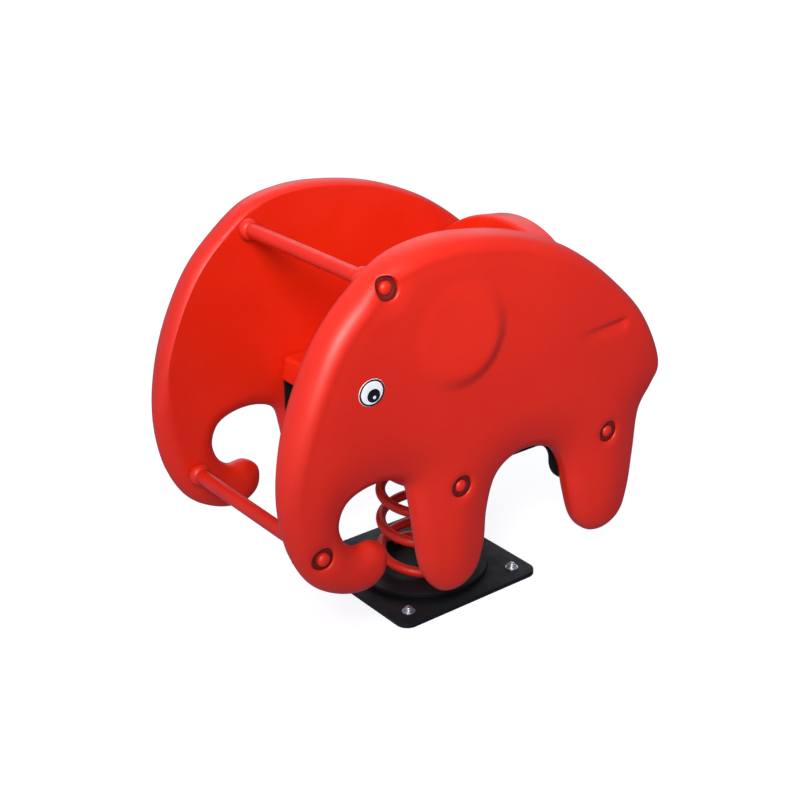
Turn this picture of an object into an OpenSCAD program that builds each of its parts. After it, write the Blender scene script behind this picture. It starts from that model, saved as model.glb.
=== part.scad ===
// Elephant spring rider: two hollow moulded sides, a saddle seat and a steel cradle on one coil spring.
// +X is forward (trunk), +Y is the elephant's left, +Z is up. The origin is the centre of the base
// plate's underside, where it is bolted to the ground. All lengths are in millimetres.

/* [Base plate] */
// Side of the square base plate
plate_w = 344; // [330:2:420]
// Thickness of the base plate
plate_t = 10; // [6:1:16]
// Corner radius of the base plate
plate_corner_r = 26; // [10:1:40]
// Distance between the anchor holes, both ways
anchor_pitch = 266; // [250:2:290]
// Diameter of the anchor holes
anchor_hole_d = 14; // [10:1:18]
// Outside diameter of an anchor washer
anchor_washer_d = 26; // [24:1:40]
// Thickness of an anchor washer
anchor_washer_t = 2.5; // [2:0.5:5]

/* [Spring] */
// Diameter of the spring wire
wire_d = 20; // [16:1:22]
// Outside diameter of the spring
spring_od = 176; // [160:2:184]
// Rise of the wire in one active turn
spring_pitch = 66; // [56:1:76]
// Active turns between the closed end turns
active_turns = 3.6; // [3:0.1:4.4]
// Angle of each closed end turn, in degrees
closed_turn = 200; // [170:5:230]
// Direction of the lower end of the wire, in degrees
wire_end_angle = 265; // [0:5:355]

/* [Spring seats] */
// Diameter of the disc under the spring
lower_disc_d = 278; // [230:2:300]
// Diameter of the disc on top of the spring
upper_disc_d = 222; // [210:2:240]
// Thickness of both discs
disc_t = 10; // [6:1:14]
// Width of a clamp along the wire
clamp_w = 34; // [26:1:44]
// Thickness of a clamp's jaw over the wire
jaw_t = 8; // [6:1:12]
// Shank diameter of a clamp bolt
clamp_bolt_d = 12; // [8:1:14]
// Length of the stop at the wire's end
stop_l = 16; // [10:1:24]

/* [Cradle] */
// Side of the square cradle tubes
tube_w = 40; // [36:1:50]
// Wall of the cradle tubes
tube_wall = 4; // [3:0.5:5]
// Thickness of the plate between the cradle and the upper disc
mount_plate_t = 8; // [5:1:12]
// Distance from the middle to a rail's axis
rail_y = 45; // [38:1:52]
// Shank diameter of the bolts through the mounting plate
mount_bolt_d = 10; // [8:1:12]
// Distance of those bolts from the spring's axis
mount_bolt_r = 98; // [94:1:102]
// Thickness of the side brackets
bracket_t = 6; // [4:1:8]
// Width of the flange that carries the seat
flange_w = 44; // [36:1:60]
// How far a bracket's rear lobe hangs below the leg bolts
lobe_drop = 112; // [90:2:130]

/* [Seat] */
// Height of the seat's underside above the leg bolts
seat_rise = 94; // [80:1:120]
// Thickness of the seat
seat_t = 46; // [36:1:60]
// Reach of the seat's front edge past the front leg bolts
seat_reach = 96; // [70:1:110]
// Distance from the rear leg bolts forward to the backrest's face
back_reach = 90; // [70:1:120]
// Height of the backrest above the seat at its sides
back_side_h = 173; // [140:1:210]
// Height of the backrest above the seat in the middle
back_mid_h = 247; // [220:1:280]
// Thickness of the backrest
back_t = 57; // [40:1:64]
// Backward lean of the backrest, in degrees
back_lean = 5; // [0:1:12]
// Wall of the moulded seat
seat_wall = 5; // [4:0.5:7]
// Edge radius of the seat
seat_edge_r = 14; // [8:1:18]
// Shank diameter of the seat bolts
seat_bolt_d = 8; // [6:1:10]

/* [Panels] */
// Length of a side panel
panel_len = 892; // [840:4:960]
// Height of a side panel
panel_h = 704; // [660:4:760]
// Thickness of a side panel
panel_t = 68; // [60:1:80]
// Space between the two panels
panel_gap = 370; // [340:2:400]
// Wall of the moulded panels
panel_wall = 5; // [4:0.5:7]
// Diameter of the raised ear
ear_d = 206; // [180:2:220]
// Height of the ear's middle above the face
ear_rise = 5; // [3:0.5:8]
// Tilt of the ear, which lifts its lower rear edge, in degrees
ear_tilt = 4.5; // [3:0.5:6]
// Edge radius of the ear
ear_edge_r = 9; // [6:0.5:12]
// Diameter of an eye
eye_d = 55; // [48:1:64]
// Thickness of an eye
eye_t = 3; // [2:0.5:4]
// Diameter of a pupil
pupil_d = 25; // [20:1:30]

/* [Bars] */
// Outside diameter of the hand and foot bars
bar_d = 28; // [26:1:34]
// Wall of the bars
bar_wall = 3; // [2:0.5:4]
// Outside diameter of the collars at the bars' ends
collar_d = 42; // [40:1:50]
// Length of a collar
collar_l = 20; // [14:1:30]
// Length of the threaded plug in a bar's end
plug_l = 36; // [30:1:50]

/* [Panel bolts] */
// Shank diameter of the panel bolts
bolt_d = 10; // [8:1:12]
// Length of thread past the panel's inner face
bolt_reach = 26; // [22:1:28]
// Diameter of the pockets that the bolts lie in
pocket_d = 46; // [42:1:50]
// Depth of those pockets
pocket_depth = 22; // [18:1:28]
// Widening of a pocket's mouth, on the radius
pocket_lip = 5; // [3:0.5:8]
// Outside diameter of a panel washer
washer_d = 30; // [28:1:34]
// Thickness of a panel washer
washer_t = 2.5; // [2:0.5:3]
// Diameter of the domed caps over the bolt heads
cap_d = 27; // [26:0.5:28]
// Height of a cap
cap_h = 14; // [13:0.5:16]
// Diameter of the drain holes in the hollow mouldings
drain_d = 10; // [6:1:14]

/* [Hidden] */
$fn = 64;

// Colours
red = [0.84, 0.12, 0.09];
black = [0.10, 0.11, 0.12];
silver = [0.75, 0.76, 0.78];
white = [0.95, 0.95, 0.95];

// Clearances and the overrun of every cut
body_gap = 0.3;
slip = 0.15;
cut = 2;

// Proportions of metric fasteners, as shares of the shank
hex_share = 1.7;
head_share = 0.65;
nut_share = 0.9;
clear_share = 1.1;

// Places on a panel: shares of its length, from the spring's axis, and of its height
handle_shares = [0.288, 0.917];
foot_shares = [0.445, 0.262];
front_leg_shares = [0.108, 0.329];
rear_leg_shares = [-0.306, 0.329];
eye_shares = [0.335, 0.675];
ear_shares = [0.118, 0.754];
drain_shares = [[0.095, 0.075], [-0.335, 0.075]];

// Outline of the elephant, in the same shares, from the back over the head and round
outline_shares = [
    [-0.158, 0.907], [-0.046, 0.962], [0.067, 0.992], [0.168, 1.000], [0.266, 0.977], [0.347, 0.909],
    [0.413, 0.826], [0.464, 0.717], [0.500, 0.598], [0.520, 0.478], [0.519, 0.370], [0.497, 0.262],
    [0.453, 0.174], [0.387, 0.121], [0.325, 0.109], [0.283, 0.142], [0.277, 0.202], [0.308, 0.237],
    [0.350, 0.239], [0.379, 0.271], [0.390, 0.324], [0.372, 0.374], [0.325, 0.396], [0.270, 0.393],
    [0.227, 0.365], [0.211, 0.300], [0.198, 0.193], [0.181, 0.090], [0.141, 0.016], [0.090, 0.001],
    [0.043, 0.037], [0.020, 0.115], [0.013, 0.214], [-0.009, 0.300], [-0.058, 0.338], [-0.121, 0.339],
    [-0.177, 0.307], [-0.211, 0.239], [-0.229, 0.147], [-0.253, 0.056], [-0.293, 0.006],
    [-0.342, 0.000], [-0.387, 0.036], [-0.409, 0.115], [-0.420, 0.229], [-0.430, 0.342],
    [-0.462, 0.406], [-0.483, 0.463], [-0.462, 0.545], [-0.406, 0.658], [-0.331, 0.754],
    [-0.249, 0.838]];
outline_steps = 2;
rim_steps = 4;
edge_steps = 3;

// Facets of the spring's wire along and around it
rings_per_turn = 24;
wire_sides = 8;

// Heights, from the ground up
lower_top_z = plate_t + disc_t;
coil_r = (spring_od - wire_d) / 2;
coil_low_z = lower_top_z + body_gap + wire_d / 2;
coil_high_z = coil_low_z + spring_pitch * active_turns;
upper_disc_z = coil_high_z + wire_d / 2 + body_gap;
mount_plate_z = upper_disc_z + disc_t;
cradle_z = mount_plate_z + mount_plate_t;
leg_bolt_z = cradle_z + tube_w / 2;
panel_z = leg_bolt_z - front_leg_shares[1] * panel_h;
seat_z = leg_bolt_z + seat_rise;
seat_top_z = seat_z + seat_t;

// Places of the panel bolts, in X and Z
function place(shares) = [shares[0] * panel_len, panel_z + shares[1] * panel_h];
handle_at = place(handle_shares);
foot_at = place(foot_shares);
front_leg_at = place(front_leg_shares);
rear_leg_at = place(rear_leg_shares);
bolt_sites = [handle_at, foot_at, front_leg_at, rear_leg_at];
leg_sites = [front_leg_at, rear_leg_at];

// Clamps on the end turns: angles from the wire's end, and radii that follow the coil
clamp_angles = [55, 150];
heel_l = 2.6 * clamp_bolt_d;
wire_in_r = (coil_r - wire_d / 2) * cos(180 / rings_per_turn);
heel_out_r = sqrt(pow(wire_in_r - body_gap, 2) - pow(clamp_w / 2, 2));
heel_in_r = heel_out_r - heel_l;
clamp_bolt_r = heel_in_r + heel_l / 2;
jaw_out_r = coil_r + wire_d / 3;
jaw_z = wire_d + 2 * body_gap;
stop_w = 1.5 * wire_d;

// Cradle and seat
tube_half_y = panel_gap / 2 - bracket_t;
mount_bolt_angles = [60, 120, 240, 300];
seat_front_x = front_leg_at[0] + seat_reach;
back_x = rear_leg_at[0] + back_reach;
seat_side_gap = 2;
seat_w = panel_gap - 2 * seat_side_gap;
bracket_front_x = seat_front_x - seat_side_gap;
bracket_rear_x = rear_leg_at[0] - 1.4 * tube_w;
bracket_low_z = leg_bolt_z - 0.4 * tube_w;
lobe_front_x = rear_leg_at[0] + 2.3 * tube_w;
lobe_z = leg_bolt_z - lobe_drop;
lobe_curve_r = tube_w;
lobe_corner_r = 1.4 * tube_w;
seat_bolt_y = panel_gap / 2 - bracket_t - flange_w / 2;
seat_bolt_x = [front_leg_at[0], back_x + back_t];
insert_d = 2 * seat_bolt_d;
insert_l = 2.2 * seat_bolt_d;
boss_d = insert_d + 2 * seat_wall;

// Panel details: the rounding towards the outer face, how far it draws the outline in, and the inner edge
rim_depth = 0.62 * panel_t;
rim_inset = 0.0483 * panel_h;
inner_edge_r = 0.26 * panel_t;
column_d = pocket_d + 2 * panel_wall;
eye_sink = eye_t / 2;
pupil_sink = eye_t / 3;
pupil_shift_shares = [-0.058, -0.12];
ear_tilt_axis = [0.75, 0.66, 0];
pocket_floor = panel_t - pocket_depth;
cap_wall = (cap_d - hex_share * bolt_d * 2 / sqrt(3)) / 2 - slip;

// A curve through points: one Catmull-Rom span, then the closed curve, its normals and its inset
function span(a, b, c, d, t) = 0.5 * (2 * b + (c - a) * t + (2 * a - 5 * b + 4 * c - d) * t * t
    + (3 * b - a - 3 * c + d) * t * t * t);
function closed_curve(p, steps) = let (n = len(p))
    [for (i = [0 : n - 1]) for (k = [0 : steps - 1])
        span(p[(i + n - 1) % n], p[i], p[(i + 1) % n], p[(i + 2) % n], k / steps)];
function unit(v) = v / norm(v);
function inset(c, d) = let (n = len(c))
    [for (i = [0 : n - 1]) let (t = unit(c[(i + 1) % n] - c[(i + n - 1) % n])) c[i] + d * [t[1], -t[0]]];
outline = closed_curve([for (s = outline_shares) [s[0] * panel_len, s[1] * panel_h]], outline_steps);

// Rim profile as [inset, depth from the inner face], for the skin and for the hollow behind it
skin_levels = concat(
    [for (k = [0 : edge_steps - 1]) let (a = 90 * k / edge_steps)
        [inner_edge_r * (1 - sin(a)), inner_edge_r * (1 - cos(a))]],
    [[0, inner_edge_r]],
    [for (k = [0 : rim_steps]) let (a = 90 * k / rim_steps)
        [rim_inset * (1 - cos(a)), panel_t - rim_depth + rim_depth * sin(a)]]);
hollow_levels = concat([[panel_wall + inner_edge_r, panel_wall], [panel_wall, panel_wall + inner_edge_r]],
    [for (k = [0 : 2 : rim_steps]) let (a = 90 * k / rim_steps)
        [panel_wall + (rim_inset - panel_wall / 2) * (1 - cos(a)),
            panel_t - rim_depth + (rim_depth - panel_wall) * sin(a)]]);

// Triangles that fill a clockwise outline c, with r its points in order: a corner goes where no point lies in it
function turn(a, b, c) = (b[0] - a[0]) * (c[1] - a[1]) - (b[1] - a[1]) * (c[0] - a[0]);
function within(p, a, b, c) = turn(a, b, p) <= 0 && turn(b, c, p) <= 0 && turn(c, a, p) <= 0;
function is_ear(c, t, r) = turn(c[t[0]], c[t[1]], c[t[2]]) < 0
    && len([for (i = r) if (i != t[0] && i != t[1] && i != t[2]
        && within(c[i], c[t[0]], c[t[1]], c[t[2]])) i]) == 0;
function fill(c, r, k = 0, done = []) = let (n = len(r), t = [r[k % n], r[(k + 1) % n], r[(k + 2) % n]])
    n == 3 ? concat(done, [r])
    : is_ear(c, t, r) ? fill(c, [for (i = r) if (i != t[1]) i], k + 1, concat(done, [t]))
    : fill(c, r, k + 1, done);

// A closed solid lofted through insets of a clockwise outline in X and Z, with depth along +Y
module loft(curve, levels) {
    n = len(curve);
    m = len(levels);
    points = [for (l = levels) for (p = inset(curve, l[0])) [p[0], l[1], p[1]]];
    sides = [for (j = [0 : m - 2]) for (i = [0 : n - 1]) let (a = j * n + i, b = j * n + (i + 1) % n)
        each [[a, a + n, b + n], [a, b + n, b]]];
    order = [for (i = [0 : n - 1]) i];
    near = fill(inset(curve, levels[0][0]), order);
    far = [for (t = fill(inset(curve, levels[m - 1][0]), order)) [for (k = [2, 1, 0]) (m - 1) * n + t[k]]];
    polyhedron(points, concat(sides, near, far), convexity = 8);
}

// Shapes that repeat
module along_y(at, y) {
    translate([at[0], y, at[1]])
        rotate([-90, 0, 0])
            children();
}

module both_sides() {
    children();
    mirror([0, 1, 0])
        children();
}

module rounded_slab(w, l, h, r) {
    union() {
        translate([-w / 2 + r, -l / 2, 0])
            cube([w - 2 * r, l, h]);
        translate([-w / 2, -l / 2 + r, 0])
            cube([w, l - 2 * r, h]);
        for (x = [-1, 1], y = [-1, 1])
            translate([x * (w / 2 - r), y * (l / 2 - r), 0])
                cylinder(r = r, h = h);
    }
}

module ring(d, bore, h) {
    difference() {
        cylinder(d = d, h = h);
        translate([0, 0, -cut])
            cylinder(d = bore, h = h + 2 * cut);
    }
}

// Hexagon across flats, standing on z = 0
module hex(d, h) {
    cylinder(d = hex_share * d * 2 / sqrt(3), h = h, $fn = 6);
}

// A bolt with its head above z = 0 and its shank below
module hex_bolt(d, length) {
    union() {
        hex(d, head_share * d);
        translate([0, 0, -length])
            cylinder(d = d, h = length + head_share * d / 2);
    }
}

module hex_nut(d, h) {
    difference() {
        hex(d, h);
        translate([0, 0, -cut])
            cylinder(d = d + 2 * slip, h = h + 2 * cut);
    }
}

module square_tube(length) {
    difference() {
        translate([-tube_w / 2, -length / 2, -tube_w / 2])
            cube([tube_w, length, tube_w]);
        translate([tube_wall - tube_w / 2, -length / 2 - cut, tube_wall - tube_w / 2])
            cube([tube_w - 2 * tube_wall, length + 2 * cut, tube_w - 2 * tube_wall]);
    }
}

// The spring: one wire, left-hand wound, whose angle a is counted from its lower end
wind_angle = 2 * closed_turn + 360 * active_turns;
ring_count = round(wind_angle * rings_per_turn / 360);
upper_end_angle = wire_end_angle - wind_angle;
function coil_z(a) = coil_low_z + spring_pitch * active_turns
    * max(0, min(1, (a - closed_turn) / (360 * active_turns)));
function coil_way(phi) = [sin(phi), -cos(phi), 0];
function coil_out(phi) = [cos(phi), sin(phi), 0];
function coil_at(a) = coil_r * coil_out(wire_end_angle - a) + [0, 0, coil_z(a)];
wire_angles = [for (i = [0 : ring_count]) wind_angle * i / ring_count];
wire_path = concat([coil_at(0) - wire_d * coil_way(wire_end_angle)], [for (a = wire_angles) coil_at(a)],
    [coil_at(wind_angle) + wire_d * coil_way(upper_end_angle)]);
wire_out = concat([coil_out(wire_end_angle)], [for (a = wire_angles) coil_out(wire_end_angle - a)],
    [coil_out(upper_end_angle)]);
function wire_way(i) = unit(wire_path[min(i + 1, len(wire_path) - 1)] - wire_path[max(i - 1, 0)]);
spring_least_gap = min([for (i = [0 : len(wire_path) - 1])
    for (j = [i + rings_per_turn / 2 : len(wire_path) - 1]) norm(wire_path[j] - wire_path[i])]) - wire_d;
echo(spring_least_gap = spring_least_gap);

module wire_tube() {
    n = wire_sides;
    last = len(wire_path) - 1;
    points = [for (i = [0 : last]) let (e = wire_out[i], b = cross(wire_way(i), e)) for (k = [0 : n - 1])
        wire_path[i] + wire_d / 2 * (cos(360 * k / n) * e + sin(360 * k / n) * b)];
    sides = [for (i = [0 : last - 1]) for (k = [0 : n - 1])
        let (a = i * n + k, b = i * n + (k + 1) % n)
        each [[a, a + n, b + n], [a, b + n, b]]];
    ends = [for (k = [1 : n - 2]) each [[0, k, k + 1], [last * n, last * n + k + 1, last * n + k]]];
    polyhedron(points, concat(sides, ends), convexity = 10);
}

// A spring seat: disc with its face on z = 0, tapped for the clamps, and a stop for the wire's end
module spring_seat_disc(d, end_angle, way) {
    difference() {
        union() {
            translate([0, 0, -disc_t])
                cylinder(d = d, h = disc_t);
            rotate(end_angle)
                translate([coil_r - stop_w / 2, way * (wire_d + body_gap + stop_l / 2) - stop_l / 2, 0])
                    cube([stop_w, stop_l, wire_d + body_gap]);
        }
        for (a = clamp_angles)
            rotate(end_angle - way * a)
                translate([clamp_bolt_r, 0, -disc_t - cut])
                    cylinder(d = clamp_bolt_d + 2 * slip, h = disc_t + 2 * cut);
    }
}

// One clamp on the face z = 0: a heel inside the coil and a jaw over the wire
module clamp() {
    difference() {
        union() {
            translate([heel_in_r, -clamp_w / 2, 0])
                cube([heel_l, clamp_w, jaw_z + jaw_t]);
            translate([heel_in_r, -clamp_w / 2, jaw_z])
                cube([jaw_out_r - heel_in_r, clamp_w, jaw_t]);
        }
        translate([clamp_bolt_r, 0, -cut])
            cylinder(d = clear_share * clamp_bolt_d, h = jaw_z + jaw_t + 2 * cut);
    }
}

module on_clamps(end_angle, way) {
    for (a = clamp_angles)
        rotate(end_angle - way * a)
            children();
}

module clamp_bolt() {
    translate([clamp_bolt_r, 0, jaw_z + jaw_t])
        hex_bolt(clamp_bolt_d, jaw_z + jaw_t + disc_t);
}

module on_lower_seat() {
    translate([0, 0, lower_top_z])
        children();
}

module on_upper_seat() {
    translate([0, 0, upper_disc_z])
        mirror([0, 0, 1])
            children();
}

// Base
module base_plate() color(black) {
    difference() {
        rounded_slab(plate_w, plate_w, plate_t, plate_corner_r);
        for (x = [-1, 1], y = [-1, 1])
            translate([x * anchor_pitch / 2, y * anchor_pitch / 2, -cut])
                cylinder(d = anchor_hole_d, h = plate_t + 2 * cut);
    }
}

module anchor_washers() color(silver) {
    for (x = [-1, 1], y = [-1, 1])
        translate([x * anchor_pitch / 2, y * anchor_pitch / 2, plate_t])
            ring(anchor_washer_d, anchor_hole_d, anchor_washer_t);
}

module lower_spring_seat() color(black)
    on_lower_seat()
        spring_seat_disc(lower_disc_d, wire_end_angle, 1);

module lower_clamps() color(black)
    on_lower_seat()
        on_clamps(wire_end_angle, 1)
            clamp();

module lower_clamp_bolts() color(silver)
    on_lower_seat()
        on_clamps(wire_end_angle, 1)
            clamp_bolt();

module spring() color(red)
    wire_tube();

// Upper end of the spring
module upper_spring_seat() color(black) {
    difference() {
        on_upper_seat()
            spring_seat_disc(upper_disc_d, upper_end_angle, -1);
        mount_bolt_holes();
    }
}

module upper_clamps() color(black)
    on_upper_seat()
        on_clamps(upper_end_angle, -1)
            clamp();

module upper_clamp_bolts() color(silver)
    on_upper_seat()
        on_clamps(upper_end_angle, -1)
            clamp_bolt();

module on_mount_bolts() {
    for (a = mount_bolt_angles)
        rotate(a)
            translate([mount_bolt_r, 0, 0])
                children();
}

module mount_bolt_holes() {
    on_mount_bolts()
        translate([0, 0, upper_disc_z - cut])
            cylinder(d = clear_share * mount_bolt_d, h = disc_t + mount_plate_t + 2 * cut);
}

module mounting_plate() color(black) {
    difference() {
        translate([0, 0, mount_plate_z])
            rounded_slab(upper_disc_d, upper_disc_d, mount_plate_t, tube_w / 2);
        mount_bolt_holes();
    }
}

module mounting_bolts() color(silver)
    on_mount_bolts()
        translate([0, 0, upper_disc_z])
            mirror([0, 0, 1])
                hex_bolt(mount_bolt_d, disc_t + mount_plate_t + nut_share * mount_bolt_d);

module mounting_nuts() color(silver)
    on_mount_bolts()
        translate([0, 0, cradle_z])
            hex_nut(mount_bolt_d, nut_share * mount_bolt_d);

// Cradle
module front_cross_tube() color(black)
    translate([front_leg_at[0], 0, leg_bolt_z])
        square_tube(2 * tube_half_y);

module rear_cross_tube() color(black)
    translate([rear_leg_at[0], 0, leg_bolt_z])
        square_tube(2 * tube_half_y);

module rail() {
    from_x = rear_leg_at[0] + tube_w / 2;
    to_x = front_leg_at[0] - tube_w / 2;
    translate([(from_x + to_x) / 2, rail_y, leg_bolt_z])
        rotate(90)
            square_tube(to_x - from_x);
}

module left_rail() color(black)
    rail();

module right_rail() color(black)
    mirror([0, 1, 0])
        rail();

// Side of a bracket, in X and Z: a deep web, and a lobe that hangs behind the rear arch
module bracket_outline() {
    difference() {
        union() {
            translate([bracket_rear_x, bracket_low_z])
                square([bracket_front_x - bracket_rear_x, seat_z - bracket_low_z]);
            translate([bracket_rear_x, lobe_z + lobe_corner_r])
                square([lobe_front_x - bracket_rear_x, seat_z - lobe_z - lobe_corner_r]);
            translate([bracket_rear_x + lobe_corner_r, lobe_z])
                square([lobe_front_x - bracket_rear_x - 2 * lobe_corner_r, lobe_corner_r + cut]);
            for (x = [bracket_rear_x + lobe_corner_r, lobe_front_x - lobe_corner_r])
                translate([x, lobe_z + lobe_corner_r])
                    circle(lobe_corner_r);
            translate([lobe_front_x, bracket_low_z - lobe_curve_r])
                square(lobe_curve_r);
        }
        translate([lobe_front_x + lobe_curve_r, bracket_low_z - lobe_curve_r])
            circle(lobe_curve_r);
        translate([bracket_front_x, bracket_low_z])
            circle(lobe_curve_r);
    }
}

module side_bracket() {
    difference() {
        union() {
            translate([0, panel_gap / 2, 0])
                rotate([90, 0, 0])
                    linear_extrude(bracket_t)
                        bracket_outline();
            translate([bracket_rear_x, seat_bolt_y - flange_w / 2, seat_z - bracket_t])
                cube([bracket_front_x - bracket_rear_x, flange_w + bracket_t / 2, bracket_t]);
        }
        for (at = leg_sites)
            along_y(at, panel_gap / 2 - bracket_t - cut)
                cylinder(d = clear_share * bolt_d, h = bracket_t + 2 * cut);
        for (x = seat_bolt_x)
            translate([x, seat_bolt_y, seat_z - bracket_t - cut])
                cylinder(d = clear_share * seat_bolt_d, h = bracket_t + 2 * cut);
    }
}

module left_side_bracket() color(black)
    side_bracket();

module right_side_bracket() color(black)
    mirror([0, 1, 0])
        side_bracket();

module weld_nuts() color(silver)
    both_sides()
        for (at = leg_sites)
            translate([at[0], panel_gap / 2 - bracket_t, at[1]])
                rotate([90, 0, 0])
                    hex_nut(bolt_d, nut_share * bolt_d);

// Seat: a hollow saddle with rounded edges and an arched backrest
module pan(grow) {
    length = seat_front_x - back_x + back_t;
    r = seat_edge_r - grow;
    translate([seat_front_x - length / 2, 0, seat_z + seat_t / 2])
        rotate([90, 0, 0])
            translate([0, 0, grow - seat_w / 2])
                rounded_slab(length - 2 * grow, seat_t - 2 * grow, seat_w - 2 * grow, r);
}

module backrest(grow) {
    rise = back_mid_h - back_side_h;
    arch_r = (seat_w * seat_w / 4 + rise * rise) / (2 * rise);
    translate([back_x, 0, seat_top_z])
        rotate([0, -back_lean, 0])
            translate([-grow, 0, 0])
                rotate([0, -90, 0])
                    intersection() {
                        translate([grow - seat_t / 2, grow - seat_w / 2, 0])
                            cube([back_mid_h + seat_t / 2 - 2 * grow, seat_w - 2 * grow, back_t - 2 * grow]);
                        translate([back_mid_h - arch_r, 0, -cut])
                            cylinder(r = arch_r - grow, h = back_t + 2 * cut, $fn = 128);
                    }
}

module on_seat_bolts() {
    for (x = seat_bolt_x, y = [-1, 1])
        translate([x, y * seat_bolt_y, seat_z])
            children();
}

module seat() color(red) {
    difference() {
        union() {
            pan(0);
            backrest(0);
        }
        difference() {
            union() {
                pan(seat_wall);
                backrest(seat_wall);
            }
            on_seat_bolts()
                cylinder(d = boss_d, h = insert_l + 2 * seat_wall);
        }
        on_seat_bolts()
            translate([0, 0, -cut])
                cylinder(d = insert_d + 2 * slip, h = insert_l + cut);
        translate([(seat_front_x + back_x) / 2, 0, seat_z - cut])
            cylinder(d = drain_d, h = seat_wall + 2 * cut);
    }
}

module seat_inserts() color(silver)
    on_seat_bolts()
        ring(insert_d, seat_bolt_d + 2 * slip, insert_l);

module seat_bolts() color(silver)
    on_seat_bolts()
        translate([0, 0, -bracket_t])
            mirror([0, 0, 1])
                hex_bolt(seat_bolt_d, bracket_t + insert_l - 2 * slip);

// Panels, with the inner face on y = 0 and the outer face towards +Y
module ear() {
    at = [ear_shares[0] * panel_len, ear_shares[1] * panel_h];
    intersection() {
        along_y(at, panel_t)
            rotate(ear_tilt, ear_tilt_axis)
                rotate_extrude()
                    union() {
                        translate([0, -ear_edge_r])
                            square([ear_d / 2 - ear_edge_r, ear_edge_r + ear_rise]);
                        translate([0, -ear_edge_r])
                            square([ear_d / 2, ear_rise]);
                        translate([ear_d / 2 - ear_edge_r, ear_rise - ear_edge_r])
                            circle(ear_edge_r);
                    }
        translate([at[0] - ear_d, panel_t - panel_wall / 2, at[1] - ear_d])
            cube([2 * ear_d, ear_d, 2 * ear_d]);
    }
}

module panel() {
    sites = [for (s = bolt_sites) [s[0], s[1] - panel_z]];
    eye_at = [eye_shares[0] * panel_len, eye_shares[1] * panel_h];
    difference() {
        union() {
            loft(outline, skin_levels);
            ear();
        }
        difference() {
            loft(outline, hollow_levels);
            for (at = sites)
                along_y(at, 0)
                    cylinder(d = column_d, h = panel_t);
        }
        for (at = sites) {
            along_y(at, -cut)
                cylinder(d = clear_share * bolt_d, h = panel_t);
            along_y(at, pocket_floor)
                cylinder(d = pocket_d, h = pocket_depth + cut);
            along_y(at, panel_t - pocket_lip)
                cylinder(d1 = pocket_d, d2 = pocket_d + 4 * pocket_lip, h = 2 * pocket_lip);
        }
        along_y(eye_at, panel_t - eye_sink)
            cylinder(d = eye_d + 2 * slip, h = eye_t + cut);
        for (s = drain_shares)
            along_y([s[0] * panel_len, s[1] * panel_h], -cut)
                cylinder(d = drain_d, h = panel_wall + 2 * cut);
    }
}

module left_panel() color(red)
    translate([0, panel_gap / 2, panel_z])
        panel();

module right_panel() color(red)
    mirror([0, 1, 0])
        translate([0, panel_gap / 2, panel_z])
            panel();

// Bars
module bar(at)
    along_y(at, -panel_gap / 2)
        ring(bar_d, bar_d - 2 * bar_wall, panel_gap);

module bar_plugs(at)
    both_sides()
        along_y(at, panel_gap / 2 - plug_l)
            ring(bar_d - 2 * bar_wall - 2 * slip, bolt_d + 2 * slip, plug_l);

module bar_collars(at) {
    r = (collar_d - bar_d) / 2 - slip;
    both_sides()
        along_y(at, panel_gap / 2 - collar_l)
            rotate_extrude()
                union() {
                    translate([bar_d / 2 + slip, r])
                        square([r, collar_l - r]);
                    intersection() {
                        translate([bar_d / 2 + slip, r])
                            circle(r);
                        translate([bar_d / 2 + slip, 0])
                            square([r, r]);
                    }
                }
}

module handle_bar() color(red)
    bar(handle_at);

module handle_bar_plugs() color(silver)
    bar_plugs(handle_at);

module handle_bar_collars() color(red)
    bar_collars(handle_at);

module foot_bar() color(red)
    bar(foot_at);

module foot_bar_plugs() color(silver)
    bar_plugs(foot_at);

module foot_bar_collars() color(red)
    bar_collars(foot_at);

// Panel bolts, washers and caps, in the pockets of both panels
module in_pockets() {
    both_sides()
        for (at = bolt_sites)
            along_y(at, panel_gap / 2 + pocket_floor)
                children();
}

module panel_bolts() color(silver)
    in_pockets()
        translate([0, 0, washer_t])
            hex_bolt(bolt_d, washer_t + pocket_floor + bolt_reach);

module panel_washers() color(silver)
    in_pockets()
        ring(washer_d, clear_share * bolt_d, washer_t);

module bolt_caps() color(red)
    in_pockets()
        translate([0, 0, washer_t])
            difference() {
                intersection() {
                    cylinder(d = cap_d, h = cap_h);
                    translate([0, 0, cap_h - cap_d / 2 - cap_wall])
                        sphere(d = cap_d + 2 * cap_wall);
                }
                translate([0, 0, -cut])
                    cylinder(d = cap_d - 2 * cap_wall, h = head_share * bolt_d + slip + cut);
            }

// Eyes
module on_eyes() {
    both_sides()
        along_y(place(eye_shares), panel_gap / 2 + panel_t - eye_sink)
            children();
}

module pupil_place() {
    translate([pupil_shift_shares[0] * eye_d, -pupil_shift_shares[1] * eye_d, eye_t - pupil_sink])
        children();
}

module eye_discs() color(white)
    on_eyes()
        difference() {
            cylinder(d = eye_d, h = eye_t);
            pupil_place()
                cylinder(d = pupil_d + 2 * slip, h = eye_t);
        }

module eye_pupils() color(black)
    on_eyes()
        pupil_place()
            cylinder(d = pupil_d, h = 2 * pupil_sink);

base_plate();
anchor_washers();
lower_spring_seat();
lower_clamps();
lower_clamp_bolts();
spring();
upper_spring_seat();
upper_clamps();
upper_clamp_bolts();
mounting_plate();
mounting_bolts();
mounting_nuts();
front_cross_tube();
rear_cross_tube();
left_rail();
right_rail();
left_side_bracket();
right_side_bracket();
weld_nuts();
seat();
seat_inserts();
seat_bolts();
left_panel();
right_panel();
handle_bar();
handle_bar_plugs();
handle_bar_collars();
foot_bar();
foot_bar_plugs();
foot_bar_collars();
panel_bolts();
panel_washers();
bolt_caps();
eye_discs();
eye_pupils();
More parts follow.
